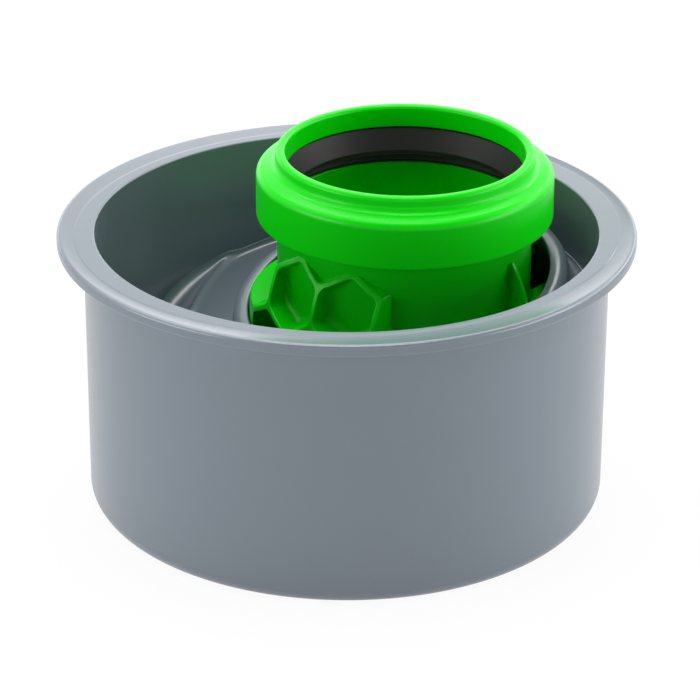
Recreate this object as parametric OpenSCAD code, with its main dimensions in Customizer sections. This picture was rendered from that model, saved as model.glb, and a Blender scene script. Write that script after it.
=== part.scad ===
// Adjustable pipe reducer: a short spigot with a rim that drops into a large drain socket,
// and a swivelling small pipe socket whose honeycombed ball is snapped into a leaning seat.
// Origin: on the axis of the spigot, in the plane of its insertion end. +Z is up, out of the drain,
// and +X is the side towards which the seat is offset. Lengths are in millimetres.

/* [Spigot] */
// Outer radius of the spigot, half of the large pipe size
spigot_r = 55; // [52:0.5:70]
// Wall thickness of the spigot
spigot_wall = 2.4; // [1.8:0.1:3.2]
// Height of the body from the insertion end to the top of the rim
body_h = 59.6; // [58:0.2:90]
// Radius of the rounded lead-in at the insertion end
lead_r = 3.5; // [2.6:0.1:5]
// Width of the flat that is left on the end face
end_land = 0.4; // [0.2:0.1:1]

/* [Rim] */
// How far the rim stands out past the spigot
rim_out = 5.5; // [3:0.5:10]
// Thickness of the rim
rim_t = 2.15; // [1.6:0.05:3.5]
// Width of the raised inner ring on top of the rim
rim_ring_w = 3.4; // [2:0.1:5]
// Height of the raised inner ring above the outer part of the rim
rim_step = 0.15; // [0.1:0.05:0.5]
// How far the fall of the rim's top towards its edge reaches inwards
rim_round_w = 0.8; // [0.4:0.1:2]
// Fall of the rim's top towards its edge
rim_fall = 0.6; // [0.3:0.1:0.8]
// Rounding of the rim's lower edge
rim_base_round = 0.5; // [0.3:0.1:0.7]
// Radius of the fillet between the spigot and the underside of the rim
rim_fillet = 0.8; // [0.4:0.1:1.5]

/* [Ball seat] */
// Room between the seat's bowl and the spigot's wall, on the side to which the seat is offset
seat_clear = 1.6; // [0.8:0.1:6]
// Depth of the ball's centre below the top of the rim
seat_depth = 23; // [21:0.2:26]
// Lean of the seat's axis away from the offset side, in degrees
seat_lean = 13.3; // [8:0.1:15]
// Running gap between the ball and its seat
ball_gap = 0.3; // [0.2:0.05:0.6]
// Height of the seat's mouth above the ball's centre, which sets how hard the ball snaps in
mouth_rise = 6.8; // [5:0.1:8]
// Thickness of the collar around the mouth
collar_wall = 2.9; // [2.2:0.1:4.5]
// Rounding of the collar's outer top edge
collar_round = 1.6; // [0.8:0.1:2]
// Rounding of the collar's mouth
mouth_round = 0.5; // [0.3:0.1:0.8]
// Draft of the collar's outside, as the growth of its radius down to the web
collar_draft = 0.9; // [0:0.1:1.5]
// Fillet where the collar stands on the web
collar_fillet = 1.6; // [0.8:0.1:2.5]
// Wall of the bowl below the web
bowl_wall = 2.7; // [2:0.1:3.4]
// Thickness of the rib that ties the bowl to the spigot's wall on the offset side
seat_rib_w = 3; // [2:0.1:4]

/* [Web] */
// Depth of the web's flat top below the ball's centre
web_drop = 2.2; // [1:0.1:3.5]
// Thickness of the web
web_t = 2.5; // [1.8:0.1:3.2]
// Radius of the web's flat top around the seat's axis
web_r = 51.2; // [48:0.1:54]
// Slope of the flank that falls from the web's edge to the spigot's wall, in degrees
web_slope = 32; // [15:1:38]
// Depth of the shelf at the foot of that flank below the web's flat top
web_fall = 6; // [3:0.5:8]
// Radius of the rounded ridge between the flat top and the flank
web_round = 4; // [2:0.5:8]

/* [Ball seal] */
// Latitude of the ledge under the ball seal, in degrees below the ball's equator
seal_lat = 41.3; // [38:0.1:43]
// Radial width of the ball seal
seal_w = 5.2; // [4:0.1:6]
// Clearance between the ball seal and the wall of its pocket
seal_fit = 0.3; // [0.2:0.05:0.5]
// Clearance between the ball seal and the ball
seal_gap = 0.2; // [0.1:0.05:0.3]
// Thickness of the ledge that carries the ball seal
ledge_t = 2.5; // [2:0.1:3.5]
// Depth of the groove around the outside of the ball seal
seal_groove = 0.8; // [0.4:0.1:1.2]

/* [Socket] */
// Outer radius of the pipe that goes into the socket
pipe_r = 25; // [24:0.1:25.5]
// Radial clearance between that pipe and the socket
pipe_fit = 0.2; // [0.1:0.05:0.4]
// Wall thickness of the socket's neck
neck_wall = 1.8; // [1.6:0.1:2]
// Thickness of the lip at the mouth
lip_wall = 2.1; // [1.6:0.1:2.4]
// Height of the socket's mouth above the ball's centre
mouth_h = 36.9; // [36:0.1:50]
// Height of the lip above the shoulder of the head
lip_h = 3.1; // [2:0.1:5]
// Fall of the shoulder from the lip to the head's edge
shoulder_fall = 1.1; // [0.6:0.1:2]
// Radial depth of the pipe seal's groove, out from the socket's bore
groove_d = 4.2; // [3.6:0.1:5.5]
// Height of the head and its lip, from the head's underside to the mouth
head_h = 14.3; // [13.5:0.1:16]
// Wall thickness of the head around the seal's groove
head_wall = 2; // [1.6:0.1:2.6]
// Thickness of the head's underside below the groove
head_floor = 1.3; // [1:0.1:2]
// Rounding of the head's upper edge
head_round = 1.1; // [0.5:0.1:1.5]
// Rounding of the head's lower edge
head_base_round = 0.5; // [0.3:0.1:1]
// Rounding of the lip's two edges
lip_round = 0.5; // [0.3:0.1:0.8]
// Fillet where the lip stands on the shoulder
lip_fillet = 0.9; // [0.4:0.1:1.4]

/* [Pipe seal] */
// Inner radius of the free sealing lip
seal_lip_r = 23.2; // [22.5:0.1:24]
// Depth of the lip's edge below the top of the pipe seal
seal_lip_drop = 5; // [4:0.1:6]
// Thickness of the sealing lip
seal_lip_t = 1.3; // [1:0.1:1.8]
// Radial play of the pipe seal in its groove
seal_play = 0.1; // [0.05:0.05:0.3]

/* [Ball] */
// Radius of the ball
ball_r = 33; // [32.5:0.1:34]
// Depth of the ball's cut-off bottom below its centre
ball_foot = 25; // [24:0.1:26]
// Wall of the ball at its bottom opening
foot_wall = 2.2; // [1.6:0.1:3]
// Depth of the stop for the pipe's end below the ball's centre
stop_depth = 14; // [10:0.5:16]
// Width of that stop
stop_w = 2.4; // [1.5:0.1:3]
// Height of the ball's flat shoulder above its centre, between the two honeycombs
band_top = 3.8; // [2:0.1:5]
// Bevel of that shoulder's outer edge
band_bevel = 0.4; // [0.2:0.1:0.8]

/* [Honeycomb] */
// Azimuth that the middle of one honeycomb faces, in degrees from +X; the other faces away from it
comb_turn = 196.4; // [0:0.1:360]
// Width of a cell across its flats
cell_w = 13.6; // [12.6:0.1:13.8]
// Height of the middle of the upper row of cells above the ball's centre
cell_z = 11.1; // [10:0.1:12]
// Thickness of the ribs
rib_w = 1.1; // [0.8:0.05:1.5]
// Azimuth from the middle of a honeycomb to the plain rib beside it, in degrees
plain_rib_turn = 91.9; // [80:0.1:100]
// Height of the plain ribs above the ball's centre
plain_rib_top = 18; // [16:0.1:18.5]

/* [Hidden] */
$fn = 96;
bore_r = spigot_r - spigot_wall;
rim_r = spigot_r + rim_out;
ball_z = body_h - seat_depth;
seat_r = ball_r + ball_gap;
collar_r = seat_r + collar_wall;
web_top = -web_drop;
web_bottom = web_top - web_t;
bowl_r = seat_r + bowl_wall;
seat_offset = bore_r - bowl_r - seat_clear;
ledge_z = -seat_r * sin(seal_lat);
ledge_r = seat_r * cos(seal_lat) + 0.2;
pocket_r = ledge_r + seal_w + seal_fit;
ledge_bottom = ledge_z - ledge_t;
pipe_bore = pipe_r + pipe_fit;
neck_r = pipe_bore + neck_wall;
lip_r = pipe_bore + lip_wall;
lip_foot = mouth_h - lip_h;
shoulder_z = lip_foot - shoulder_fall;
head_base = mouth_h - head_h;
groove_r = pipe_bore + groove_d;
head_r = groove_r + head_wall;
groove_floor = head_base + head_floor;
groove_top = shoulder_z - 0.4;
foot_r = sqrt(ball_r * ball_r - ball_foot * ball_foot);
cell_side = cell_w / sqrt(3);
comb_floor = 2 * cell_side - cell_z;
comb_half = 1.5 * cell_w;
neck_end = -min(stop_depth, sqrt(ball_r * ball_r - neck_r * neck_r) - 0.5);
arc_steps = 8;

// Points along an arc around (cx, cy), with radii rx and ry, from angle a to angle b
function arc(cx, cy, rx, ry, a, b) = [
    for (i = [0 : arc_steps])
        let (t = a + (b - a) * i / arc_steps)
        [cx + rx * cos(t), cy + ry * sin(t)]
];

// The seat's frame: origin at the ball's centre, Z along the leaning axis of the seat
module at_seat() {
    translate([seat_offset, 0, ball_z])
        rotate([0, -seat_lean, 0])
            children();
}

// The socket's frame: origin at the ball's centre, Z along the pipe, which is upright at rest
module at_socket() {
    translate([seat_offset, 0, ball_z])
        children();
}

// The spigot's wall with its rounded end and its rim, turned in one piece
module spigot_wall_ring() {
    lead_x = max(0, lead_r - spigot_wall + end_land);
    lead_z = sqrt(lead_r * lead_r - lead_x * lead_x);
    rim_base = body_h - rim_step - rim_t;
    edge_z = body_h - rim_step - rim_fall;
    rotate_extrude()
        polygon(concat(
            [[bore_r, 0]],
            arc(spigot_r - lead_r, lead_z, lead_r, lead_r, -acos(lead_x / lead_r), 0),
            arc(spigot_r + rim_fillet, rim_base - rim_fillet, rim_fillet, rim_fillet, 180, 90),
            arc(rim_r - rim_base_round, rim_base + rim_base_round, rim_base_round, rim_base_round, -90, 0),
            arc(rim_r - rim_round_w, edge_z, rim_round_w, rim_fall, 0, 90),
            [[bore_r + rim_ring_w + 0.1, body_h - rim_step],
             [bore_r + rim_ring_w, body_h]],
            arc(bore_r + 0.3, body_h - 0.3, 0.3, 0.3, 90, 180)
        ));
}

// The flat web around the seat, with its rounded ridge and its flank, before it is cut to the bore
module web_disc() {
    start = web_r - web_round * tan(web_slope / 2);
    reach = 2 * spigot_r;
    flank = arc(start, web_top - web_round, web_round, web_round, 90, 90 - web_slope);
    corner = flank[arc_steps];
    shelf = web_top - web_fall;
    foot_x = corner[0] + (corner[1] - shelf) / tan(web_slope);
    rotate_extrude()
        polygon(concat(
            [[seat_r + 1, web_top]],
            flank,
            [[foot_x, shelf],
             [reach, shelf],
             [reach, shelf - web_t],
             [foot_x - web_t * tan(web_slope / 2), shelf - web_t],
             [web_r - web_t * tan(web_slope / 2), web_bottom],
             [seat_r + 1, web_bottom]]
        ));
}

// The collar that stands on the web and keeps the ball in
module collar() {
    base_r = collar_r + collar_draft;
    inner_r = seat_r - 2;
    rotate_extrude()
        polygon(concat(
            [[inner_r, web_bottom],
             [base_r, web_bottom],
             [base_r + collar_fillet, web_top]],
            arc(base_r + collar_fillet, web_top + collar_fillet, collar_fillet, collar_fillet, -90, -180),
            arc(collar_r - collar_round, mouth_rise - collar_round, collar_round, collar_round, 0, 90),
            [[inner_r, mouth_rise]]
        ));
}

// The bowl below the web, with the pocket and the ledge of the ball seal
module bowl() {
    intersection() {
        sphere(r = bowl_r);
        translate([0, 0, ledge_bottom])
            cylinder(r = bowl_r, h = web_top - ledge_bottom);
    }
    translate([0, 0, ledge_bottom])
        cylinder(r = pocket_r + bowl_wall, h = bowl_r / 2 + ledge_t);
}

// The rib that ties the bowl to the spigot's wall, before it is cut to the bore
module seat_rib() {
    translate([0, -seat_rib_w / 2, ledge_bottom])
        cube([2 * spigot_r, seat_rib_w, web_top - ledge_bottom - web_t / 2]);
}

// The rounding around the mouth of the seat, as the space that it takes away
module mouth_rounding() {
    mouth_r = sqrt(seat_r * seat_r - mouth_rise * mouth_rise);
    rotate_extrude()
        polygon(concat(
            [[0, mouth_rise - mouth_round],
             [mouth_r, mouth_rise - mouth_round]],
            arc(mouth_r + mouth_round, mouth_rise - mouth_round, mouth_round, mouth_round, 180, 90),
            [[mouth_r + mouth_round, mouth_rise + 1],
             [0, mouth_rise + 1]]
        ));
}

// What the ball, its seal and the outlet take out of the seat
module seat_space() {
    sphere(r = seat_r);
    mouth_rounding();
    translate([0, 0, ledge_z])
        cylinder(r = pocket_r, h = -ledge_z - sqrt(seat_r * seat_r - pocket_r * pocket_r) + 0.4);
    translate([0, 0, ledge_bottom - 1])
        cylinder(r = ledge_r, h = ledge_t + 2);
}

// Grey body: spigot, rim, leaning web and seat, moulded in one piece
module spigot_body() {
    color([0.49, 0.53, 0.56])
        difference() {
            union() {
                spigot_wall_ring();
                intersection() {
                    at_seat()
                        union() {
                            web_disc();
                            collar();
                            bowl();
                            seat_rib();
                        }
                    cylinder(r = bore_r + spigot_wall / 2, h = body_h);
                }
            }
            at_seat()
                seat_space();
        }
}

// Black ring that lies on the ledge of the seat and wipes the ball
module ball_seal() {
    outer_r = pocket_r - seal_fit;
    color([0.1, 0.1, 0.1])
        at_seat()
            difference() {
                rotate_extrude()
                    polygon([
                        [ledge_r, ledge_z],
                        [outer_r, ledge_z],
                        [outer_r, ledge_z + 2],
                        [outer_r - seal_groove, ledge_z + 2.6],
                        [outer_r - seal_groove, ledge_z + 3.8],
                        [outer_r, ledge_z + 4.4],
                        [outer_r, -seat_r / 4],
                        [ledge_r, -seat_r / 4]
                    ]);
                sphere(r = ball_r + seal_gap);
            }
}

// The turned outline of the socket from its mouth down to the ball, with the seal's groove
module socket_shell() {
    rotate_extrude()
        polygon(concat(
            [[pipe_bore, neck_end]],
            [[pipe_bore, groove_floor],
             [groove_r, groove_floor],
             [groove_r, groove_top],
             [pipe_bore, groove_top]],
            arc(pipe_bore + lip_round, mouth_h - lip_round, lip_round, lip_round, 180, 90),
            arc(lip_r - lip_round, mouth_h - lip_round, lip_round, lip_round, 90, 0),
            arc(lip_r + lip_fillet, lip_foot + lip_fillet, lip_fillet, lip_fillet, 180, 255),
            arc(head_r - head_round, shoulder_z - head_round, head_round, head_round, 75, 0),
            arc(head_r - head_base_round, head_base + head_base_round,
                head_base_round, head_base_round, 0, -90),
            [[neck_r, head_base],
             [neck_r, neck_end]]
        ));
}

// The smooth part of the ball, with the pipe's stop and the bottom opening
module ball_solid() {
    shoulder_r = sqrt(ball_r * ball_r - band_top * band_top);
    difference() {
        intersection() {
            sphere(r = ball_r);
            rotate_extrude()
                polygon([
                    [0, -ball_foot],
                    [ball_r + 1, -ball_foot],
                    [ball_r + 1, band_top - band_bevel],
                    [shoulder_r, band_top - band_bevel],
                    [shoulder_r - band_bevel, band_top],
                    [0, band_top]
                ]);
        }
        translate([0, 0, -stop_depth])
            cylinder(r = pipe_bore, h = stop_depth + band_top + 1);
        rotate_extrude()
            polygon([
                [0, -ball_foot - 1],
                [foot_r - foot_wall, -ball_foot - 1],
                [foot_r - foot_wall, -ball_foot],
                [pipe_bore - stop_w, -stop_depth - 2],
                [pipe_bore - stop_w, -stop_depth + 1],
                [0, -stop_depth + 1]
            ]);
    }
}

// The two pockets in the ball that hold the honeycombs, one on each side of the neck
module comb_space() {
    difference() {
        rotate([0, 0, comb_turn])
            translate([-2 * ball_r, -comb_half, -comb_floor])
                cube([4 * ball_r, 2 * comb_half, ball_r]);
        cylinder(r = neck_r, h = 4 * ball_r, center = true);
    }
}

// One wall of the honeycomb between two of its corners, seen along the direction it faces
module wall(x1, y1, x2, y2) {
    run = norm([x2 - x1, y2 - y1]);
    translate([x1, y1])
        rotate(atan2(y2 - y1, x2 - x1))
            translate([-rib_w / 3, -rib_w / 2])
                square([run + rib_w * 2 / 3, rib_w]);
}

// The honeycomb as it is seen along the direction it faces: two cells above, open ones below.
// With wings, the open cells at its two ends are closed at the top
module comb_face(wings) {
    half = cell_w / 2;
    up = cell_z + cell_side / 2;
    down = cell_z - cell_side / 2;
    top = cell_z + cell_side;
    root = cell_z - cell_side;
    for (x = [-half, half]) {
        wall(x - half, up, x, top);
        wall(x, top, x + half, up);
        wall(x - half, down, x, root);
        wall(x, root, x + half, down);
        wall(x, -comb_floor - 1, x, root);
    }
    for (x = [-cell_w, 0, cell_w])
        wall(x, down, x, up);
    if (wings)
        for (side = [-1, 1])
            wall(side * cell_w, down, side * comb_half, root);
}

// The honeycombs on both sides of the neck and the two upright ribs between them, cut to the ball
module comb() {
    difference() {
        intersection() {
            sphere(r = ball_r);
            union() {
                for (turn = [0, 180])
                    rotate([0, 0, comb_turn + turn])
                        rotate([90, 0, 90])
                            linear_extrude(ball_r)
                                comb_face(turn == 0);
                for (turn = [0, 180])
                    rotate([0, 0, comb_turn + plain_rib_turn + turn])
                        plain_rib();
            }
        }
        cylinder(r = neck_r - neck_wall / 2, h = 4 * ball_r, center = true);
    }
}

// An upright rib with a round top
module plain_rib() {
    height = plain_rib_top - rib_w / 2 - band_top + 1;
    translate([0, -rib_w / 2, band_top - 1])
        cube([ball_r, rib_w, height]);
    translate([0, 0, band_top - 1 + height])
        rotate([0, 90, 0])
            cylinder(r = rib_w / 2, h = ball_r);
}

// Green swivel socket: pipe socket, neck and honeycomb ball, moulded in one piece
module swivel_socket() {
    color([0.16, 0.78, 0.12])
        at_socket()
            union() {
                socket_shell();
                difference() {
                    ball_solid();
                    comb_space();
                }
                comb();
            }
}

// Black lip ring in the head's groove that seals the pipe
module pipe_seal() {
    top = groove_top - seal_play / 2;
    base = groove_floor;
    lip_z = top - seal_lip_drop;
    outer_r = groove_r - seal_play;
    color([0.12, 0.11, 0.11])
        at_socket()
            rotate_extrude()
                polygon([
                    [pipe_bore + 0.3, base],
                    [outer_r, base],
                    [outer_r, base + 2.4],
                    [outer_r - 0.7, base + 3],
                    [outer_r - 0.7, base + 4.2],
                    [outer_r, base + 4.8],
                    [outer_r, top],
                    [pipe_bore + 1.4, top],
                    [pipe_bore + 0.3, top - 0.5],
                    [seal_lip_r + 0.2, lip_z + 0.2],
                    [seal_lip_r, lip_z - 0.2],
                    [seal_lip_r + 0.3, lip_z - seal_lip_t + 0.3],
                    [pipe_bore + 1.2, lip_z],
                    [pipe_bore + 1.2, base + 1.6]
                ]);
}

spigot_body();
ball_seal();
swivel_socket();
pipe_seal();
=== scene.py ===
"""Adjustable pipe reducer: moulded surfaces, finishes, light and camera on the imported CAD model.

Lengths are in millimetres until a mesh is made. Z is up, and +X is the side to which the seat is
offset. Angles on the way round are measured from +X towards +Y.
"""
import math

import bpy
import numpy as np
from mathutils import Matrix


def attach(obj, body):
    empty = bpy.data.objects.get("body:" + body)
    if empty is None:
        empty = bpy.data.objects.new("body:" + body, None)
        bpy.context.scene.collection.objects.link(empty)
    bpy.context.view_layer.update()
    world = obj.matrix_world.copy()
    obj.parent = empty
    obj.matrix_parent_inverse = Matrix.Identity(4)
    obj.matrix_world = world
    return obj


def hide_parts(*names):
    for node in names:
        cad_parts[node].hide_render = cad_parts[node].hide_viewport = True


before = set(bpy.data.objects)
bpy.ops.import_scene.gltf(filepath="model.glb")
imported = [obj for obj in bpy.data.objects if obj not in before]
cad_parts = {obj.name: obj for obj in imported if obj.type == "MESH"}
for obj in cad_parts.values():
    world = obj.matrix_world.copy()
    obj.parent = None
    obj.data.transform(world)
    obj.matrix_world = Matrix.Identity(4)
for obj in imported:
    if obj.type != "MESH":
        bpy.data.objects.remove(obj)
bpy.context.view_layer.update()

MM = 0.001

# Spigot: its radii and height, and the arc at its insertion end, which starts LEAD_X outside its
# own centre
BORE_R, SPIGOT_R, BODY_H = 52.6, 55.0, 59.6
LEAD_R, LEAD_X = 3.5, 1.5

# Rim: thickness of its outer part, the step up to its raised inner ring, the ring's width, and how
# far the rounding of its outer edge reaches down and in
RIM_R, RIM_T, RIM_STEP, RIM_RING_W = 60.48, 2.15, 0.15, 3.4
RIM_FALL, RIM_ROUND_W = 0.6, 0.8
RIM_TOP = BODY_H - RIM_STEP
RIM_BASE = RIM_TOP - RIM_T
RING_R = BORE_R + RIM_RING_W
EDGE_R = RIM_R - RIM_ROUND_W

# Warp of the rim. Its ring ends at a mean radius and wanders twice and once on the way round, its
# edge rises by a mean and a tilt, and its step is keenest at one angle and softest opposite
WARP_RING_R, WARP_TWICE, WARP_ONCE = 55.9, 1.5, 0.6
WARP_TWICE_TURN, WARP_ONCE_TURN = math.radians(21.2), math.radians(24.4)
WARP_RISE, WARP_TILT, WARP_TILT_TURN = 0.28, 0.3, math.radians(264.4)
STEP_SOFT, STEP_SPREAD, STEP_TURN = 0.3, 3, math.radians(15.6)

# Place of the ball's centre, which is the origin of the seat and of the socket, and the seat's lean
SEAT_X, BALL_Z, LEAN = 15.0, 36.6, math.radians(13.3)

# Seat, along its own leaning axis: the collar round it with its mouth and flared foot, the bowl
# below it, and the pocket and ledge of the ball's rubber ring
SEAT_R, COLLAR_R, FOOT_R, FLARE_R, MOUTH_T = 33.3, 36.2, 37.1, 39.9, 6.8
SEAT_LIP_R = 0.5
BOWL_R, POCKET_R, LEDGE_R, LEDGE_T, LEDGE_END = 36.0, 30.72, 25.22, -21.98, -24.48
BOWL_NECK_R = POCKET_R + 2.7
SEAT_RIB_W = 3.0

# Leaning web: its top, thickness, ridge, and the slope beyond the ridge down to a shelf
WEB_TOP, WEB_T, WEB_START_R, WEB_R = -2.2, 2.5, 34.2, 50.4
WEB_SLOPE, WEB_ROUND, WEB_FALL, WEB_FALL_SOFT = math.radians(32), 2.0, 6.0, 0.5
WELT_H, WELT_W = 0.6, 0.75
# Below RIDGE_TURN degrees the ridge moves out by RIDGE_RATE for each degree, RIDGE_MOVE at most
RIDGE_TURN, RIDGE_RATE, RIDGE_MOVE = 124.4, 0.125, 3.4
# Fillet at the wall, and how much wider it gets on the deep side
WALL_FILLET, WALL_FILLET_MORE = 1.3, 5.7

# Swivel socket: ball, neck and head, the groove of the lip ring, the pipe's stop and the ball's
# foot, and the flat shoulders of the ball with the rounding of their edges and the fillet on them
BALL_R, NECK_R, PIPE_R, HEAD_R, LIP_R = 33.0, 27.0, 25.2, 31.4, 27.3
MOUTH_Z, LIP_FOOT_Z, SHOULDER_Z, HEAD_BASE_Z = 36.9, 33.8, 32.7, 22.6
GROOVE_R, GROOVE_LOW, GROOVE_TOP = 29.4, 23.9, 32.3
STOP_Z, STOP_R, FOOT_Z, FOOT_IN = -14.0, 22.8, -25.0, 19.34
SHOULDER_FLAT_Z, SHOULDER_EDGE_R, SHOULDER_FOOT_R = 3.8, 0.45, 0.9

# Honeycomb, as seen along the direction that it faces: width of a cell across its flats, height of
# the upper row's middle, and the ribs between the cells
FACE_TURN = math.radians(196.4)
CELL_W, CELL_Z, RIB_W = 13.6, 11.1, 1.1
CELL_SIDE = CELL_W / math.sqrt(3)
FIELD_HALF = 1.5 * CELL_W
POCKET_Z = CELL_Z - 2 * CELL_SIDE
# Rounding in a cell's corners and on a rib's edge, fillet on the neck inside the cells and outside
# them, draft of a wall as a share of its fillet, and how far a rib runs on past the last cell
CELL_CORNER_R, RIB_EDGE_R, CELL_FOOT_R, CROWN_FOOT_R = 2.2, 0.32, 1.8, 0.08
CELL_DRAFT, WING = 0.08, 1.6
PLAIN_RIB_TURN, PLAIN_RIB_TOP = math.radians(91.9), 18.0

# Rubber rings: play in their grooves, gap to the ball, and depth of the groove round their backs
LIP_RING_PLAY, LIP_RING_IN, LIP_RING_BACK = 0.1, 25.5, 0.8
WIPER_PLAY, WIPER_GAP, WIPER_BACK = 0.3, 0.2, 0.8

TURN_STEPS = 288


def round_corners(corners, radii, steps=7, closed=True, lead=0.12):
    """Replaces each corner of a path by an arc of its own radius, tangent to both of its sides, as
    steps points. A further point lies on each side just before and after the arc, so that flat
    faces stay flat in the shading."""
    p = np.asarray(corners, float)
    r = np.broadcast_to(np.asarray(radii, float), len(p)).copy()
    back, ahead = np.roll(p, 1, 0), np.roll(p, -1, 0)
    if not closed:
        back[0], ahead[-1] = 2 * p[0] - p[1], 2 * p[-1] - p[-2]
        r[0] = r[-1] = 0
    d_in, d_out = p - back, ahead - p
    l_in, l_out = np.hypot(*d_in.T), np.hypot(*d_out.T)
    d_in, d_out = d_in / l_in[:, None], d_out / l_out[:, None]
    cross = d_in[:, 0] * d_out[:, 1] - d_in[:, 1] * d_out[:, 0]
    turn = np.arctan2(cross, (d_in * d_out).sum(1))
    reach = r * np.tan(np.abs(turn) / 2)
    side = np.sign(turn)[:, None] * np.stack([-d_in[:, 1], d_in[:, 0]], 1)
    start = p - d_in * reach[:, None]
    centre = start + side * r[:, None]
    a = turn[:, None] * np.linspace(0, 1, steps)
    v = -side * r[:, None]
    arc = centre[:, None] + np.stack([
        v[:, :1] * np.cos(a) - v[:, 1:] * np.sin(a),
        v[:, :1] * np.sin(a) + v[:, 1:] * np.cos(a)], 2)
    gap = np.minimum(lead, 0.3 * np.minimum(l_in, l_out))[:, None, None]
    before = start[:, None] - d_in[:, None] * gap
    after = (p + d_out * reach[:, None])[:, None] + d_out[:, None] * gap
    path = np.concatenate([before, arc, after], 1)
    if not closed:
        path[0] = p[0]
        path[-1] = p[-1]
    path = path.reshape(-1, 2)
    keep = np.ones(len(path), bool)
    keep[1:] = np.hypot(*(path[1:] - path[:-1]).T) > 1e-4
    return path[keep]


def arc_points(radius, a, b, steps):
    """Points on a circle about the origin, from angle a to b in degrees, as (radius, height)."""
    t = np.radians(np.linspace(a, b, steps))
    return np.stack([radius * np.cos(t), radius * np.sin(t)], 1)


def turned(profile, steps=TURN_STEPS):
    """Carries a profile of (radius, height) once round the Z axis: the point at angle a is
    (r cos a, r sin a, z)."""
    a = np.linspace(0, 2 * math.pi, steps, endpoint=False)
    r, z = profile[:, :1], profile[:, 1:]
    return np.stack([r * np.cos(a), r * np.sin(a), z + 0 * a], 2)


def grid_faces(rows, cols, wrap_rows, wrap_cols):
    """Quads between neighbouring points of a rows by cols grid, which may close on itself."""
    i = np.arange(rows if wrap_rows else rows - 1)[:, None]
    j = np.arange(cols if wrap_cols else cols - 1)[None]
    i2, j2 = (i + 1) % rows, (j + 1) % cols
    quads = np.stack([i * cols + j, i * cols + j2, i2 * cols + j2, i2 * cols + j], 2)
    return quads.reshape(-1, 4)


class Moulding:
    """Gathers the surfaces of one moulded piece and makes one mesh object of them."""

    def __init__(self):
        self.points, self.quads, self.caps, self.count = [], [], [], 0

    def add(self, grid, wrap_rows=False, wrap_cols=False, place=None, flip=False, caps=False):
        """Adds a grid of points; place moves it into the part's frame, flip turns its faces over,
        and caps closes the first and the last column."""
        rows, cols = grid.shape[:2]
        xyz = grid.reshape(-1, 3)
        if place is not None:
            xyz = place(xyz)
        faces = grid_faces(rows, cols, wrap_rows, wrap_cols)
        if flip:
            faces = faces[:, ::-1]
        self.points.append(xyz)
        self.quads.append(faces + self.count)
        if caps:
            column = np.arange(rows) * cols + self.count
            self.caps += [column[::-1].tolist(), (column + cols - 1).tolist()]
        self.count += len(xyz)

    def make(self, name, body, node, material):
        """Makes the object, lets it ride on its body and stand for its CAD node."""
        mesh = bpy.data.meshes.new(name)
        mesh.from_pydata((np.concatenate(self.points) * MM).tolist(), [],
                         np.concatenate(self.quads).tolist() + self.caps)
        mesh.validate()
        mesh.polygons.foreach_set("use_smooth", np.ones(len(mesh.polygons), bool))
        mesh.materials.append(material)
        mesh.update()
        obj = bpy.data.objects.new(name, mesh)
        bpy.context.scene.collection.objects.link(obj)
        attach(obj, body)
        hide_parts(node)


def in_seat(xyz):
    """Leans the seat's frame by its lean about Y and puts its origin at the ball's centre."""
    c, s = math.cos(LEAN), math.sin(LEAN)
    x, y, z = xyz.T
    return np.stack([c * x - s * z + SEAT_X, y, s * x + c * z + BALL_Z], 1)


def in_socket(xyz):
    """Puts the socket's frame at the ball's centre; it is upright at rest."""
    return xyz + np.array([SEAT_X, 0, BALL_Z])


def faced(across, up, depth, turn):
    """Turns a surface that was drawn facing +X about the Z axis, until it faces the given angle."""
    c, s = math.cos(turn), math.sin(turn)
    return np.stack([c * depth - s * across, s * depth + c * across, up], 2)


# ---- grey body

def spigot_profile():
    """Closed section of the spigot's wall: rounded insertion end, plain wall, the rim's underside
    and rounded edge, its flat top, the ramp up to the raised ring, and the bore."""
    lead_z = math.sqrt(LEAD_R ** 2 - LEAD_X ** 2)
    end = arc_points(LEAD_R, -math.degrees(math.acos(LEAD_X / LEAD_R)), 0, 14)
    end = end + [SPIGOT_R - LEAD_R, lead_z]
    steps = np.stack([np.full(6, SPIGOT_R), np.linspace(lead_z + 0.2, RIM_BASE - 1.2, 6)], 1)
    under = round_corners(
        [(SPIGOT_R, RIM_BASE - 8), (SPIGOT_R, RIM_BASE), (RIM_R, RIM_BASE),
         (RIM_R, RIM_TOP - RIM_FALL)], [0, 0.8, 0.5, 0], 9, closed=False)[1:]
    t = np.radians(np.linspace(4, 90, 12))
    crown = np.stack([RIM_R - RIM_ROUND_W * (1 - np.cos(t)),
                      RIM_TOP - RIM_FALL * (1 - np.sin(t))], 1)
    brim = np.stack([np.linspace(EDGE_R - 0.4, RING_R + 0.9, 7), np.full(7, RIM_TOP)], 1)
    ring = round_corners(
        [(EDGE_R, RIM_TOP), (RING_R + 0.5, RIM_TOP), (RING_R - 0.1, BODY_H), (BORE_R, BODY_H),
         (BORE_R, BODY_H - 5)], [0, 0.9, 0.9, 0.35, 0], 7, closed=False, lead=0.1)[1:-1]
    bore = np.stack([np.full(8, BORE_R), np.linspace(BODY_H - 1, 0.8, 8)], 1)
    foot = round_corners([(BORE_R, 1), (BORE_R, 0), (BORE_R + 0.4, 0)], [0, 0.15, 0], 4,
                         closed=False)[1:-1]
    return np.concatenate([end, steps, under, crown, brim, ring, bore, foot])


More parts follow.
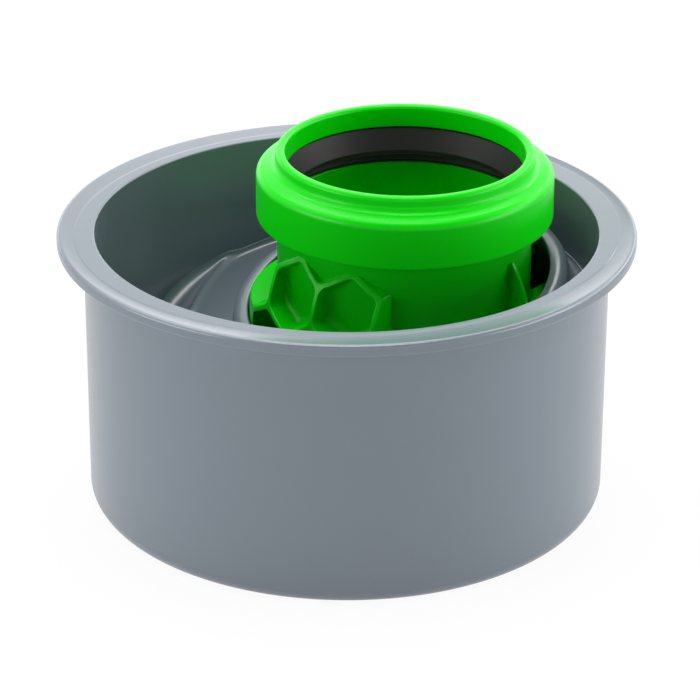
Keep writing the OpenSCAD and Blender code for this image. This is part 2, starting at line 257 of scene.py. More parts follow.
def warp_rim(grid):
    """Bends the rim the way it cooled. With angle a, the raised ring ends at the radius
    WARP_RING_R + WARP_TWICE cos(2 a + its turn) + WARP_ONCE cos(a - its turn), and the points on
    both sides of that line are spread evenly up to the bore and to the edge. The outer part rises
    to WARP_RISE + WARP_TILT cos(a - its turn) at the edge, as a square of the way across. Where the
    step is keen its ramp is drawn together, and where it is soft the brim below it comes up."""
    x, y, z = grid[..., 0], grid[..., 1], grid[..., 2]
    r, a = np.hypot(x, y), np.arctan2(y, x)
    ring = (WARP_RING_R + WARP_TWICE * np.cos(2 * a + WARP_TWICE_TURN)
            + WARP_ONCE * np.cos(a - WARP_ONCE_TURN))
    rise = WARP_RISE + WARP_TILT * np.cos(a - WARP_TILT_TURN)
    keen = STEP_SOFT + (1 - STEP_SOFT) * np.exp(STEP_SPREAD * (np.cos(a + STEP_TURN) - 1))
    inside = BORE_R + 0.5
    on_ring = inside + (r - inside) * (ring - inside) / (RING_R - inside)
    ramp = np.clip(r - RING_R, 0, 0.5) * np.clip(1 - (r - RING_R - 0.5) / 1.6, 0, 1)
    on_brim = ring + (r - RING_R) * (EDGE_R - ring) / (EDGE_R - RING_R) - 0.8 * keen * ramp
    top = (z > BODY_H - 1) & (r > inside)
    new_r = np.where(top & (r <= RING_R), on_ring, np.where(top & (r < EDGE_R), on_brim, r))
    of_rim = z > RIM_BASE - 0.5
    out = np.clip((new_r - ring) / (EDGE_R - ring), 0, 1) * of_rim
    up = 0.45 + 0.55 * np.clip((z - RIM_BASE) / RIM_T, 0, 1)
    step = (1 - keen) * np.clip(BODY_H - z, 0, RIM_STEP) * up * (r > RING_R - 0.4) * of_rim
    return np.stack([x * new_r / r, y * new_r / r, z + rise * out ** 2 * up + step], 2)


def web_surface(side, rings, steps=TURN_STEPS):
    """Top (side 1) or underside (side -1) of the leaning web, as rings around the seat's axis.
    At radius q the top lies at WEB_TOP. On its ridge it carries a round welt, which is
    WELT_H exp(-((q - ridge) / WELT_W)^2) high, and beyond it the web bends down in an arc of
    WEB_ROUND and falls at WEB_SLOPE to a shelf WEB_FALL below. The ridge is at WEB_R on the deep
    side and lies further out towards the sides. The outermost ring is where the web meets the
    spigot's bore, found by halving the way to it, and near the bore the height turns up in a
    quarter circle."""
    a = np.linspace(0, 2 * math.pi, steps, endpoint=False)
    turn = np.degrees(np.arccos(np.cos(a)))
    deep, free = np.clip((turn - 97) / 22, 0, 1), np.clip((turn - 98) / 6, 0, 1)
    fillet = WALL_FILLET + WALL_FILLET_MORE * deep ** 2 * (3 - 2 * deep)
    ridge = WEB_R + np.clip(RIDGE_RATE * (RIDGE_TURN - turn), 0, RIDGE_MOVE)
    welt = WELT_H * free * (side > 0)
    start = ridge + 0.3 - WEB_ROUND * math.tan(WEB_SLOPE / 2)
    bend = WEB_ROUND * math.sin(WEB_SLOPE)

    def height(q):
        x = np.clip(q - start, 0, bend)
        arc = WEB_ROUND - np.sqrt(WEB_ROUND ** 2 - x ** 2)
        flank = np.clip(q - start - bend, 0, None) * math.tan(WEB_SLOPE)
        above = WEB_FALL - arc - flank
        fall = (above + np.sqrt(above ** 2 + WEB_FALL_SOFT)
                - WEB_FALL - math.sqrt(WEB_FALL ** 2 + WEB_FALL_SOFT)) / 2
        return fall + welt * np.exp(-((q - ridge) / WELT_W) ** 2)

    level = WEB_TOP if side > 0 else WEB_TOP - WEB_T

    def reach(q):
        xyz = np.stack([q * np.cos(a), q * np.sin(a), level + height(q)], 1)
        x, y, _ = in_seat(xyz).T
        return np.hypot(x, y)

    low, high = np.full(steps, 30.0), np.full(steps, 75.0)
    for _ in range(40):
        mid = (low + high) / 2
        inside = reach(mid) < BORE_R + 0.25
        low, high = np.where(inside, mid, low), np.where(inside, high, mid)
    t = 1 - (1 - np.linspace(0, 1, rings)[:, None]) ** 1.5
    q = WEB_START_R + (low - WEB_START_R) * t
    xyz = np.stack([q * np.cos(a), q * np.sin(a), level + height(q)], 2)
    place = in_seat(xyz.reshape(-1, 3)).reshape(xyz.shape)
    wall = np.clip(BORE_R - np.hypot(place[..., 0], place[..., 1]), 0, fillet)
    xyz[..., 2] += side * (fillet - np.sqrt(fillet ** 2 - (fillet - wall) ** 2))
    return xyz


def seat_rib(cols=12):
    """Slab that ties the bowl to the spigot's wall under the web: a rectangle at each height, from
    inside the bowl's wall to just inside the spigot's."""
    z = np.linspace(LEDGE_END, WEB_TOP - WEB_T / 2, cols)
    near = np.maximum(np.sqrt(BOWL_R ** 2 - z ** 2), BOWL_NECK_R) - 1
    far = (BORE_R + 0.3 - SEAT_X + math.sin(LEAN) * z) / math.cos(LEAN)
    half = np.full(cols, SEAT_RIB_W / 2)
    corners = (near, -half), (far, -half), (far, half), (near, half)
    return np.stack([np.stack([x, y, z], 1) for x, y in corners])


def collar_profile():
    """Closed section of the collar, the ball's seat, the pocket of the ball seal and the bowl
    around them. The collar's foot runs out over the web's top and ends inside the web."""
    mouth = math.degrees(math.asin((MOUTH_T - SEAT_LIP_R) / SEAT_R))
    pocket = -math.degrees(math.acos(POCKET_R / SEAT_R))
    outside = round_corners(
        [(33.2, MOUTH_T), (COLLAR_R, MOUTH_T), (FOOT_R, WEB_TOP), (FLARE_R, WEB_TOP - 0.02)],
        [0, 2.4, 2.5, 0], 18, closed=False)[1:]
    web_end = [(FLARE_R, WEB_TOP - 0.6), (38.2, WEB_TOP - 1.6)]
    low = math.degrees(math.acos(BOWL_NECK_R / BOWL_R))
    bowl = arc_points(BOWL_R, -5, -low, 12)
    foot = round_corners(
        [(BOWL_NECK_R, -18), (BOWL_NECK_R, LEDGE_END), (LEDGE_R, LEDGE_END),
         (LEDGE_R, LEDGE_T), (POCKET_R, LEDGE_T), (POCKET_R, -16)],
        [0, 0.6, 0.3, 0.3, 0.2, 0], 5, closed=False)
    seat = arc_points(SEAT_R, pocket, mouth, 22)
    lip_r = SEAT_R * math.cos(math.radians(mouth)) + SEAT_LIP_R
    t = np.radians(np.linspace(170, 90, 9))
    lip = np.stack([lip_r + SEAT_LIP_R * np.cos(t),
                    MOUTH_T - SEAT_LIP_R + SEAT_LIP_R * np.sin(t)], 1)
    return np.concatenate([outside, web_end, bowl, foot, seat, lip])[::-1]


def make_body(material):
    """Spigot, rim, leaning web and seat: one grey moulding."""
    body = Moulding()
    body.add(warp_rim(turned(spigot_profile())), wrap_rows=True, wrap_cols=True, flip=True)
    web = np.concatenate([web_surface(1, 90), web_surface(-1, 28)[::-1]])
    body.add(web, wrap_rows=True, wrap_cols=True, place=in_seat)
    body.add(turned(collar_profile()), wrap_rows=True, wrap_cols=True, place=in_seat, flip=True)
    body.add(seat_rib(), wrap_rows=True, place=in_seat, caps=True)
    body.make("grey_spigot_with_seat", "body", "spigot_body", material)


# ---- green socket

def socket_profile():
    """Closed section of the socket: lip, head with the seal's groove, neck, and the ball below the
    honeycombs."""
    outer = round_corners([
        (PIPE_R, 30), (PIPE_R, GROOVE_TOP), (PIPE_R, MOUTH_Z), (LIP_R, MOUTH_Z),
        (LIP_R - 0.02, LIP_FOOT_Z), (HEAD_R, SHOULDER_Z), (HEAD_R, HEAD_BASE_Z),
        (NECK_R, HEAD_BASE_Z), (NECK_R, POCKET_Z),
        (math.sqrt(BALL_R ** 2 - POCKET_Z ** 2), POCKET_Z)],
        [0, 0, 0.85, 0.9, 1.6, 1.8, 0.6, 0.9, 0.9, 0], 13, closed=False)[1:]
    ball = arc_points(BALL_R, math.degrees(math.asin(POCKET_Z / BALL_R)),
                      math.degrees(math.asin(FOOT_Z / BALL_R)), 34)[1:]
    inner = round_corners([
        tuple(ball[-1]), (FOOT_IN, FOOT_Z), (STOP_R, STOP_Z - 2), (STOP_R, STOP_Z),
        (PIPE_R, STOP_Z), (PIPE_R, GROOVE_LOW), (GROOVE_R, GROOVE_LOW), (GROOVE_R, GROOVE_TOP),
        (PIPE_R, GROOVE_TOP)], [0, 0.5, 0.8, 0.4, 0.3, 0.3, 0.3, 0.3, 0], 5, closed=False)[1:-1]
    return np.concatenate([outer, ball, inner])


def offset_path(corners, inset, r_in, closed, edge_steps=10, arc_steps=9):
    """Path that runs beside a chain of corners, inset to its left, with rounded corners.
    Gives its points, its left normals, and for each point the matching one on the chain itself.
    Corners that turn left get the radius r_in, and the others one a little over the inset."""
    p = np.asarray(corners, float)
    back, ahead = np.roll(p, 1, 0), np.roll(p, -1, 0)
    if not closed:
        back[0], ahead[-1] = 2 * p[0] - p[1], 2 * p[-1] - p[-2]
    d_in, d_out = p - back, ahead - p
    d_in /= np.hypot(*d_in.T)[:, None]
    d_out /= np.hypot(*d_out.T)[:, None]
    n_in = np.stack([-d_in[:, 1], d_in[:, 0]], 1)
    n_out = np.stack([-d_out[:, 1], d_out[:, 0]], 1)
    cross = d_in[:, 0] * d_out[:, 1] - d_in[:, 1] * d_out[:, 0]
    turn = np.arctan2(cross, (d_in * d_out).sum(1))
    corner = p + (n_in + n_out) * (inset / (1 + (n_in * n_out).sum(1)))[:, None]
    r = np.where(np.abs(turn) < 1e-6, 0.0, np.where(turn > 0, r_in, inset + 0.25))
    reach = r * np.tan(np.abs(turn) / 2)
    start, end = corner - d_in * reach[:, None], corner + d_out * reach[:, None]
    t = np.linspace(0, 1, arc_steps)
    a = turn[:, None] * t
    normal = np.stack([n_in[:, :1] * np.cos(a) - n_in[:, 1:] * np.sin(a),
                       n_in[:, :1] * np.sin(a) + n_in[:, 1:] * np.cos(a)], 2)
    centre = start + np.sign(turn)[:, None] * n_in * r[:, None]
    arc = centre[:, None] - np.sign(turn)[:, None, None] * normal * r[:, None, None]
    foot_a, foot_b = start - n_in * inset, end - n_out * inset
    t = t[None, :, None]
    root = np.where(t <= 0.5, foot_a[:, None] + (p - foot_a)[:, None] * 2 * t,
                    p[:, None] + (foot_b - p)[:, None] * (2 * t - 1))
    t = np.linspace(0, 1, edge_steps + 2)[1:-1][None, :, None]
    nxt = np.roll(start, -1, 0)
    edge = end[:, None] * (1 - t) + nxt[:, None] * t
    edge_root = foot_b[:, None] * (1 - t) + np.roll(foot_a, -1, 0)[:, None] * t
    edge_normal = np.broadcast_to(n_out[:, None], edge.shape)
    out = [np.concatenate(pair, 1).reshape(-1, 2) for pair in
           ((arc, edge), (normal, edge_normal), (root, edge_root))]
    if not closed:
        out = [o[arc_steps - 1:1 - edge_steps - arc_steps] for o in out]
    return out


def cell_wall(corners, closed, foot_max, turn):
    """Wall around one opening of the honeycomb, as a profile carried along the opening's outline.
    The profile starts on the middle of the rib's outer face, which lies on the ball, runs over its
    rounded edge, goes in with a slight draft against the direction that the honeycomb faces, and
    ends in a fillet on the neck. Where the ball leaves a rib no depth, it sinks into the neck."""
    draft = CELL_DRAFT * foot_max
    base, normal, root = offset_path(corners, RIB_W / 2, CELL_CORNER_R, closed)

    def on_ball(p):
        return np.sqrt(BALL_R ** 2 - p[:, 0] ** 2 - p[:, 1] ** 2)

    def on_neck(p):
        return np.sqrt(np.clip(NECK_R ** 2 - p[:, 0] ** 2, 0, None))

    def ring(p, depth):
        return np.stack([depth, p[:, 0], p[:, 1]], 1)

    deep = on_ball(base) - on_neck(base)
    edge_r = np.clip(0.45 * deep, 0.02, RIB_EDGE_R)
    foot_r = np.clip(deep - edge_r, 0, foot_max)
    under = np.clip(-deep, 0, 0.5)

    def beside(way):
        return base + normal * np.broadcast_to(way, deep.shape)[:, None]

    rows = [ring(root, on_ball(root))]
    for d in (0.07, 0.0):
        p = beside(-edge_r - d)
        rows.append(ring(p, on_ball(p)))
    for a in np.radians(np.linspace(15, 90, 6)):
        p = beside(edge_r * (math.sin(a) - 1))
        rows.append(ring(p, on_ball(p) - edge_r * (1 - math.cos(a))))
    top = on_ball(base) - edge_r
    low = np.minimum(on_neck(base) + foot_r, top)
    for t in (0.04, 0.35, 0.65, 0.96):
        rows.append(ring(beside(draft * t), top + (low - top) * t))
    for a in np.radians(np.linspace(0, 90, 13)):
        p = beside(draft + foot_r * (1 - math.cos(a)))
        sink = 0.004 * math.sin(a)
        rows.append(ring(p, on_neck(p) + foot_r * (1 - math.sin(a)) - sink - under))
    for more, sink in ((0.2, 0.01), (0.25, 0.25)):
        p = beside(draft + foot_r + more)
        rows.append(ring(p, on_neck(p) - sink - under))
    grid = np.stack(rows)
    return faced(grid[..., 1], grid[..., 2], grid[..., 0], turn)


def honeycomb_openings(wings):
    """Outlines of the openings of one honeycomb, each with the opening on its left and with the
    radius at its foot. The upper row has two six-sided cells, and the lower row is open at the
    bottom. With wings the ribs run on down to the ball's shoulders on both sides."""
    h, a, z = CELL_W / 2, CELL_SIDE, CELL_Z
    hexagon = np.array([(h, -a / 2), (h, a / 2), (0, a), (-h, a / 2), (-h, -a / 2), (0, -a)])
    deep = POCKET_Z - 0.6
    crown = [(-2 * h, z - a / 2), (-2 * h, z + a / 2), (-h, z + a), (0, z + a / 2), (h, z + a),
             (2 * h, z + a / 2), (2 * h, z - a / 2)]
    middle = [(h, deep), (h, z - a), (0, z - a / 2), (-h, z - a), (-h, deep)]
    paths = [(hexagon + [h, z], True, CELL_FOOT_R), (hexagon + [-h, z], True, CELL_FOOT_R),
             (middle, False, CELL_FOOT_R)]
    if not wings:
        around = [(-h, deep), (-h, z - a)] + crown + [(h, z - a), (h, deep)]
        return paths + [(around, False, CROWN_FOOT_R)]
    far, far_z = 3 * h + WING, z - a - WING / math.sqrt(3)
    right = [(far, far_z), (2 * h, z - a / 2), (h, z - a), (h, deep)]
    left = [(-h, deep), (-h, z - a), (-2 * h, z - a / 2), (-far, far_z)]
    return paths + [([(-far, far_z)] + crown + [(far, far_z)], False, CROWN_FOOT_R),
                    (right, False, CELL_FOOT_R), (left, False, CELL_FOOT_R)]


def shoulder_block(turn, cols=61):
    """Solid shoulder of the ball between the two honeycombs, cut off flat at both ends.
    Its section runs up the ball, over a rounded edge and in over the flat to a fillet on the neck;
    at radius r the block spans the angle arccos(FIELD_HALF / r) to each side."""
    low = math.degrees(math.asin((POCKET_Z - 0.5) / BALL_R))
    high = math.degrees(math.asin((SHOULDER_FLAT_Z - SHOULDER_EDGE_R) / BALL_R))
    side = arc_points(BALL_R, low, high, 14)
    edge_r = side[-1, 0]
    t = np.radians(np.linspace(8, 90, 8))
    edge = np.stack([edge_r - SHOULDER_EDGE_R * (1 - np.cos(t)),
                     SHOULDER_FLAT_Z - SHOULDER_EDGE_R * (1 - np.sin(t))], 1)
    flat = np.stack([np.linspace(edge_r - 0.6, NECK_R + 1.0, 10), np.full(10, SHOULDER_FLAT_Z)], 1)
    t = np.radians(np.linspace(0, 80, 7))
    foot = np.stack([NECK_R + SHOULDER_FOOT_R * (1 - np.sin(t)),
                     SHOULDER_FLAT_Z + SHOULDER_FOOT_R * (1 - np.cos(t))], 1)
    inner = np.array([(NECK_R - 0.5, SHOULDER_FLAT_Z + SHOULDER_FOOT_R),
                      (NECK_R - 0.5, POCKET_Z - 0.5)])
    section = np.concatenate([side, edge, flat, foot, inner])
    r, z = section[:, :1], section[:, 1:]
    a = np.arccos(FIELD_HALF / r) * np.linspace(-1, 1, cols) + turn
    return np.stack([r * np.cos(a), r * np.sin(a), z + 0 * a], 2)


def plain_rib(turn):
    """Upright rib on the ball's shoulder, whose outer edge is rounded and follows the ball.
    Over its top its half width falls to nothing as a half circle's does."""
    cap = RIB_W / 2
    z = np.concatenate([np.linspace(SHOULDER_FLAT_Z - 0.5, PLAIN_RIB_TOP - cap, 24),
                        PLAIN_RIB_TOP - cap * (1 - np.sin(np.radians(np.linspace(12, 88, 8))))])
    over = np.clip(z - PLAIN_RIB_TOP + cap, 0, None) / cap
    half = cap * np.sqrt(np.clip(1 - over ** 2, 0, 1))
    edge = np.sqrt(BALL_R ** 2 - z ** 2)
    t = np.radians(np.linspace(-90, 90, 15))
    across = np.sign(np.sin(t)) * np.abs(np.sin(t)) ** 0.7
    inward = 1 - np.abs(np.cos(t)) ** 0.5
    back = np.concatenate([[1e3, 0.6], 0.45 * inward, [0.6, 1e3]])
    depth = np.maximum(edge[:, None] - back, NECK_R - 0.4)
    y = half[:, None] * np.concatenate([[-1.0, -1.0], across, [1.0, 1.0]])
    return faced(y, z[:, None] + 0 * y, depth, turn)


def make_socket(material):
    """Head, neck and honeycombed ball: one green moulding."""
    socket = Moulding()
    socket.add(turned(socket_profile()), wrap_rows=True, wrap_cols=True, place=in_socket)
    for k, wings in enumerate((True, False)):
        turn = FACE_TURN + k * math.pi
        for corners, closed, foot in honeycomb_openings(wings):
            socket.add(cell_wall(corners, closed, foot, turn), wrap_cols=closed, place=in_socket)
        socket.add(shoulder_block(turn + math.pi / 2), wrap_rows=True, place=in_socket, caps=True)
        socket.add(plain_rib(turn + PLAIN_RIB_TURN), place=in_socket)
    socket.make("green_swivel_socket", "socket", "swivel_socket", material)


# ---- rubber rings

def make_pipe_seal(material):
    """Lip ring in the head's groove: a bead with a shallow groove round its back, and a lip that
    leans in and down."""
    top, back, inner = GROOVE_TOP - 0.05, GROOVE_R - LIP_RING_PLAY, LIP_RING_IN
    section = round_corners([
        (inner, GROOVE_LOW), (back, GROOVE_LOW), (back, 26.3), (GROOVE_R - LIP_RING_BACK, 26.9),
        (GROOVE_R - LIP_RING_BACK, 28.1), (back, 28.7), (back, top), (26.6, top),
        (inner, top - 0.5), (23.25, top - 4.9), (23.45, top - 6.1), (26.4, top - 5.0),
        (26.4, 25.5)],
        [0.3, 0.3, 0.2, 0.2, 0.2, 0.2, 0.3, 0.4, 0.5, 0.35, 0.35, 0.5, 0.4], 6)
    seal = Moulding()
    seal.add(turned(section), wrap_rows=True, wrap_cols=True, place=in_socket, flip=True)
    seal.make("pipe_lip_ring", "socket", "pipe_seal", material)


def make_ball_seal(material):
    """Ring on the seat's ledge whose inner face follows the ball, with a groove round its back."""
    outer, low, gap_r = POCKET_R - WIPER_PLAY, LEDGE_T, BALL_R + WIPER_GAP
    face = arc_points(gap_r, -math.degrees(math.acos(outer / gap_r)),
                      -math.degrees(math.acos(LEDGE_R / gap_r)), 24)
    back = round_corners([
        (LEDGE_R, face[-1, 1]), (LEDGE_R, low), (outer, low), (outer, low + 2),
        (outer - WIPER_BACK, low + 2.6), (outer - WIPER_BACK, low + 3.8), (outer, low + 4.4),
        (outer, face[0, 1])], [0, 0.3, 0.3, 0.2, 0.2, 0.2, 0.2, 0], 5, closed=False)[1:-1]
    ring = Moulding()
    ring.add(turned(np.concatenate([face, back])), wrap_rows=True, wrap_cols=True, place=in_seat)
    ring.make("ball_wiper_ring", "seat_ring", "ball_seal", material)


# ---- finishes

def colour(code):
    """Linear colour of an sRGB hex value."""
    c = np.array([int(code[i:i + 2], 16) for i in (0, 2, 4)]) / 255
    c = np.where(c <= 0.04045, c / 12.92, ((c + 0.055) / 1.055) ** 2.4)
    return (*c.tolist(), 1.0)


def node(tree, kind, links=None, **values):
    """Adds a node, sets its properties and sockets by name, and links the sockets given as
    (node, output)."""
    n = tree.nodes.new(kind)
    for key, value in values.items():
        if hasattr(n, key):
            setattr(n, key, value)
        else:
            n.inputs[key.replace("_", " ")].default_value = value
    for key, (source, output) in (links or {}).items():
        tree.links.new(source.outputs[output], n.inputs[key])
    return n


def new_material(name):
    """Empty node material with its output node."""
    m = bpy.data.materials.new(name)
    m.use_nodes = True
    m.node_tree.nodes.clear()
    return m, m.node_tree, m.node_tree.nodes.new("ShaderNodeOutputMaterial")


def moulded_plastic(name, dark, light, roughness, gloss, grain):
    """Injection-moulded polypropylene: even colour with a barely seen cloudiness about 26 mm wide,
    a soft gloss that varies a little over 17 mm where the tool was polished by hand, and a skin
    with a slight orange peel about half a millimetre wide. Each Scale is in patches per metre."""
    m, tree, out = new_material(name)
    place = node(tree, "ShaderNodeTexCoord")
    cloud = node(tree, "ShaderNodeTexNoise", {"Vector": (place, "Object")}, Scale=38.0,
                 Detail=3.0, Roughness=0.55)
    tone = node(tree, "ShaderNodeMix", {"Factor": (cloud, "Fac")}, data_type="RGBA")
    tone.inputs[6].default_value, tone.inputs[7].default_value = colour(dark), colour(light)
    wipe = node(tree, "ShaderNodeTexNoise", {"Vector": (place, "Object")}, Scale=60.0,
                Detail=2.0, Roughness=0.4)
    shine = node(tree, "ShaderNodeMapRange", {"Value": (wipe, "Fac")})
    spread = 0.1, 0.9, roughness - 0.012, roughness + 0.012
    for socket, value in zip(shine.inputs[1:5], spread):
        socket.default_value = value
    peel = node(tree, "ShaderNodeTexNoise", {"Vector": (place, "Object")}, Scale=1900.0,
                Detail=2.0)
    skin = node(tree, "ShaderNodeBump", {"Height": (peel, "Fac")}, Strength=grain,
                Distance=0.00004)
    shader = node(tree, "ShaderNodeBsdfPrincipled",
                  {"Base Color": (tone, 2), "Roughness": (shine, "Result"),
                   "Normal": (skin, "Normal")}, IOR=1.49, Specular_IOR_Level=gloss)
    tree.links.new(shader.outputs[0], out.inputs[0])
    return m


def moulded_rubber(name, dark, light, roughness, gloss):
    """Compression-moulded EPDM rubber: near black, with a dull sheen, a faint bloom in patches 8 mm
    wide and a skin with pores, drawn 0.4 mm wide so that they show. Each Scale is in patches per
    metre."""
    m, tree, out = new_material(name)
    place = node(tree, "ShaderNodeTexCoord")
    bloom = node(tree, "ShaderNodeTexNoise", {"Vector": (place, "Object")}, Scale=120.0,
                 Detail=5.0, Roughness=0.6)
    tone = node(tree, "ShaderNodeMix", {"Factor": (bloom, "Fac")}, data_type="RGBA")
    tone.inputs[6].default_value, tone.inputs[7].default_value = colour(dark), colour(light)
    pores = node(tree, "ShaderNodeTexNoise", {"Vector": (place, "Object")}, Scale=2600.0,
                 Detail=2.0)
    skin = node(tree, "ShaderNodeBump", {"Height": (pores, "Fac")}, Strength=0.25,
                Distance=0.00004)
    shader = node(tree, "ShaderNodeBsdfPrincipled",
                  {"Base Color": (tone, 2), "Normal": (skin, "Normal")},
                  Roughness=roughness, IOR=1.52, Specular_IOR_Level=gloss)
    tree.links.new(shader.outputs[0], out.inputs[0])
    return m


# ---- camera, floor and light

# Camera as measured: its turn round the part, its tilt down and its roll, where the rim's middle
# lies from it, and its focal length in pixels of a frame FRAME_PX wide
VIEW_TURN, VIEW_DOWN, VIEW_ROLL = math.radians(-35.6), math.radians(25.216), math.radians(0.267)
VIEW_RIGHT, VIEW_UP, VIEW_AWAY, RIM_MIDDLE_Z = -0.672, 25.617, 662.35, 59.2
FOCAL_PX, FRAME_PX, SENSOR_W = 3169.0, 700.0, 36.0

# Floor: a disc, in metres, a tenth of a millimetre below the part
FLOOR_R, FLOOR_Z, FLOOR_SIDES = 4.0, -0.0001, 96

# Softboxes stand LAMP_AWAY from the part and aim at its middle. Each one's direction runs from
# behind the part (0) over its right side (90): name, direction, width, lower and upper edge in
# degrees as seen from the part, watts
LAMP_AWAY, PART_MIDDLE_Z = 1000, 40
LAMPS = (
    ("behind_low", 0, 80, 0, 20, 2.4),
    ("behind", 0, 30, 18, 30, 0.1),
    ("behind_right", 38, 22, 20, 36, 1.3),
    ("behind_high", -12, 76, 40, 65, 5.4),
    ("far_right", 75, 40, 15, 45, 3.6),
    ("far_left", -75, 40, 15, 45, 0.8),
    ("left", -112, 40, 0, 24, 4.9),
    ("left_high", -90, 70, 45, 75, 2.6),
    ("right", 104, 40, 0, 24, 4.6),
    ("right_high", 90, 70, 45, 75, 0.7),
    ("front", 180, 70, 0, 10, 0.8),
)


def from_view(x, y, z):
    """Turns a place given as right, away and up from the camera's side into the part's frame, in
    metres."""
    c, s = math.cos(VIEW_TURN), math.sin(VIEW_TURN)
    return ((c * x - s * y) * MM, (s * x + c * y) * MM, z * MM)


def aimed(right, up, back, place):
    """Matrix of a camera or lamp at a place, with the directions of its own axes."""
    m = Matrix([[*row, 0] for row in np.array([right, up, back]).T.tolist()] + [[0, 0, 0, 1]])
    m.translation = place
    return m


def make_camera():
    """Camera 662 mm from the rim's middle, 25.2 degrees down, with 12.6 degrees of view."""
    e, roll = VIEW_DOWN, VIEW_ROLL
    right = np.array([math.cos(roll), math.sin(roll) * math.sin(e), math.sin(roll) * math.cos(e)])
    up = np.array([-math.sin(roll), math.cos(roll) * math.sin(e), math.cos(roll) * math.cos(e)])
    ahead = np.array([0, math.cos(e), -math.sin(e)])
    place = -VIEW_RIGHT * right - VIEW_UP * up - VIEW_AWAY * ahead + [0, 0, RIM_MIDDLE_Z]
    data = bpy.data.cameras.new("camera")
    data.sensor_fit, data.sensor_width = "HORIZONTAL", SENSOR_W
    data.lens = FOCAL_PX * SENSOR_W / FRAME_PX
    data.clip_start, data.clip_end = 0.05, 20.0
    cam = bpy.data.objects.new("camera", data)
    cam.matrix_world = aimed(*(from_view(*(v / MM)) for v in (right, up, -ahead)),
                             from_view(*place))
    bpy.context.scene.collection.objects.link(cam)
    bpy.context.scene.camera = cam


def seen_directly(tree):
    """Node whose value is 1 for what the camera sees, also in a gloss or through glass, and 0 for
    other light."""
    path = node(tree, "ShaderNodeLightPath")
    gloss = node(tree, "ShaderNodeMath", {0: (path, "Is Camera Ray"), 1: (path, "Is Glossy Ray")},
                 operation="MAXIMUM")
    return node(tree, "ShaderNodeMath", {0: (gloss, 0), 1: (path, "Is Transmission Ray")},
                operation="MAXIMUM")


def make_floor():
    """Pale studio floor that keeps a soft trace of the part's shadow."""
    m, tree, out = new_material("matt_white_studio_paper")
    paper = node(tree, "ShaderNodeBsdfDiffuse", Color=(0.9, 0.9, 0.9, 1))
    glow = node(tree, "ShaderNodeEmission", Color=(1, 1, 1, 1), Strength=1.0)
    seen = node(tree, "ShaderNodeMixShader", {1: (paper, 0), 2: (glow, 0)}, Fac=0.93)
    both = node(tree, "ShaderNodeMixShader",
                {0: (seen_directly(tree), 0), 1: (paper, 0), 2: (seen, 0)})
    tree.links.new(both.outputs[0], out.inputs[0])
    m.cycles.emission_sampling = "NONE"
    a = np.linspace(0, 2 * math.pi, FLOOR_SIDES, endpoint=False)
    edge = np.stack([FLOOR_R * np.cos(a), FLOOR_R * np.sin(a), 0 * a + FLOOR_Z], 1)
    mesh = bpy.data.meshes.new("studio_floor")
    mesh.from_pydata(edge.tolist(), [], [list(range(FLOOR_SIDES))])
    mesh.materials.append(m)
    floor = bpy.data.objects.new("studio_floor", mesh)
    bpy.context.scene.collection.objects.link(floor)


def softbox(name, place, width, height, watts):
    """Rectangular lamp at a place given from the camera's side in mm, aimed at the part's middle.
    The place is never straight above it, where the lamp's side would have no direction."""
    data = bpy.data.lights.new(name, "AREA")
    data.shape, data.size, data.size_y = "RECTANGLE", width * MM, height * MM
    data.energy = watts
    a, b = np.array(from_view(*place)), np.array(from_view(0, 0, PART_MIDDLE_Z))
    back = (a - b) / np.linalg.norm(a - b)
    side = np.cross([0, 0, 1], back)
    side = side / np.linalg.norm(side)
    lamp = bpy.data.objects.new(name, data)
    lamp.matrix_world = aimed(side, np.cross(back, side), back, a.tolist())
    bpy.context.scene.collection.objects.link(lamp)


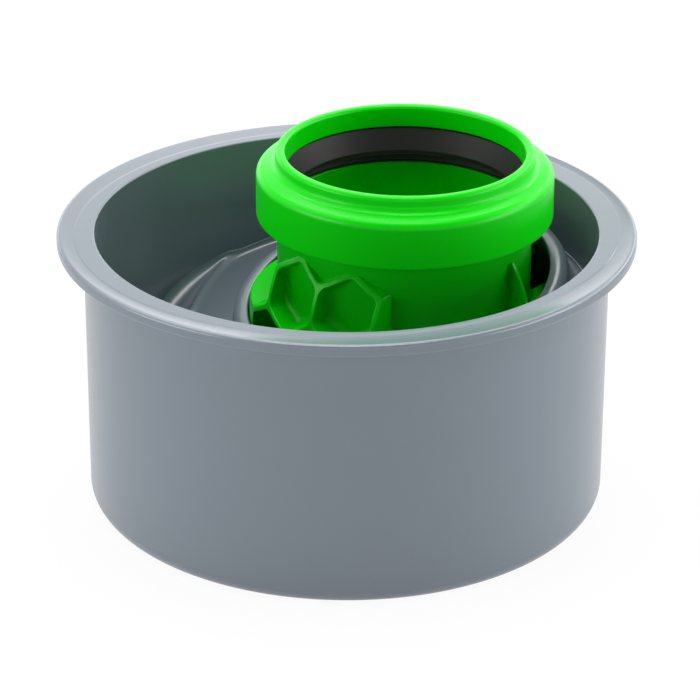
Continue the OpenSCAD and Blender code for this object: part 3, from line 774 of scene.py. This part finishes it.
def make_light():
    """Surroundings that are white up to 25 degrees above the floor and grey overhead, and the
    softboxes all round and above the part. The surroundings show behind the part and in its
    gloss, and light it only faintly."""
    world = bpy.data.worlds.new("studio")
    bpy.context.scene.world = world
    world.use_nodes = True
    world.cycles.sampling_method = "NONE"
    tree = world.node_tree
    tree.nodes.clear()
    out = tree.nodes.new("ShaderNodeOutputWorld")
    way = node(tree, "ShaderNodeSeparateXYZ",
               {0: (node(tree, "ShaderNodeTexCoord"), "Generated")})
    fade = node(tree, "ShaderNodeMapRange", {"Value": (way, "Z")},
                interpolation_type="SMOOTHSTEP")
    for socket, value in zip(fade.inputs[1:5], (0.42, 0.62, 1.0, 0.35)):
        socket.default_value = value
    around = node(tree, "ShaderNodeBackground", Color=(1, 1, 1, 1), Strength=0.02)
    white = node(tree, "ShaderNodeBackground", {"Strength": (fade, "Result")},
                 Color=(1, 1, 1, 1))
    mix = node(tree, "ShaderNodeMixShader",
               {0: (seen_directly(tree), 0), 1: (around, 0), 2: (white, 0)})
    tree.links.new(mix.outputs[0], out.inputs[0])
    softbox("softbox_above", (0, 2, PART_MIDDLE_Z + LAMP_AWAY), 520, 520, 5.0)
    for name, side, width, low, high, watts in LAMPS:
        lift, turn = math.radians((low + high) / 2), math.radians(side)
        place = (LAMP_AWAY * math.cos(lift) * math.sin(turn),
                 LAMP_AWAY * math.cos(lift) * math.cos(turn),
                 PART_MIDDLE_Z + LAMP_AWAY * math.sin(lift))
        wide = 2 * LAMP_AWAY * math.tan(math.radians(width / 2)) * math.cos(lift)
        tall = 2 * LAMP_AWAY * math.tan(math.radians((high - low) / 2))
        softbox("softbox_" + name, place, wide, tall, watts)


grey = moulded_plastic("moulded_grey_polypropylene", "69737D", "6B7680", 0.26, 0.84, 0.02)
green = moulded_plastic("moulded_green_polypropylene", "00CD00", "02D002", 0.3, 0.2, 0.02)
lip_rubber = moulded_rubber("moulded_black_rubber_lip", "12100F", "191614", 0.5, 0.25)
ring_rubber = moulded_rubber("moulded_black_rubber_ring", "141414", "1C1C1C", 0.5, 0.3)

make_body(grey)
make_socket(green)
make_pipe_seal(lip_rubber)
make_ball_seal(ring_rubber)
make_camera()
make_floor()
make_light()
bpy.context.scene.view_settings.view_transform = "Standard"
